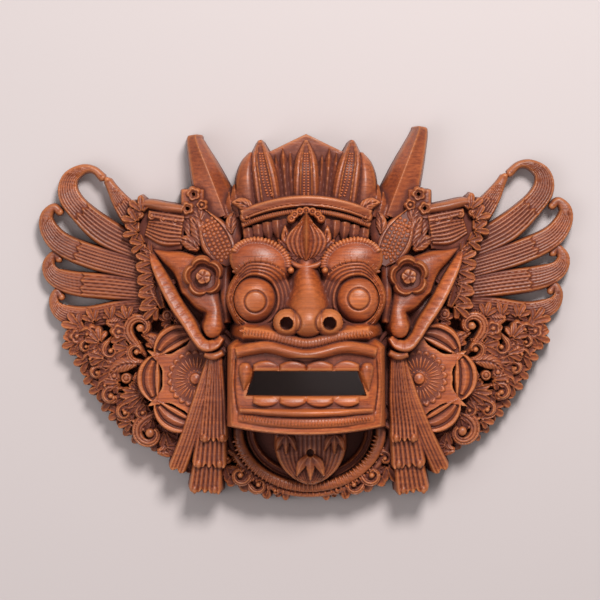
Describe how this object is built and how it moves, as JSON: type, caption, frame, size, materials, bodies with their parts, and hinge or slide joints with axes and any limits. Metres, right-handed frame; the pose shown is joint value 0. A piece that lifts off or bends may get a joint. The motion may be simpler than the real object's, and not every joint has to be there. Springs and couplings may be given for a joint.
{
  "type": "carved wooden barong mask",
  "caption": "Carved wooden barong mask with round eyes, a fanged open mouth, a horned crown, curled feather wings and leaf scrolls, hollow behind the face.",
  "frame": {"origin": "centre of the footprint of the flat back that the mask lies on", "axes": "+X across the face to the right of someone who looks at it, +Y up to the crown, +Z out of the face"},
  "size_m": [0.4524, 0.312, 0.1065],
  "materials": {
    "wood": "reddish brown carved hardwood, satin waxed, with dark stain in the recesses"
  },
  "bodies": {
    "root": {"barong_mask": "wood"}
  },
  "joints": []
}
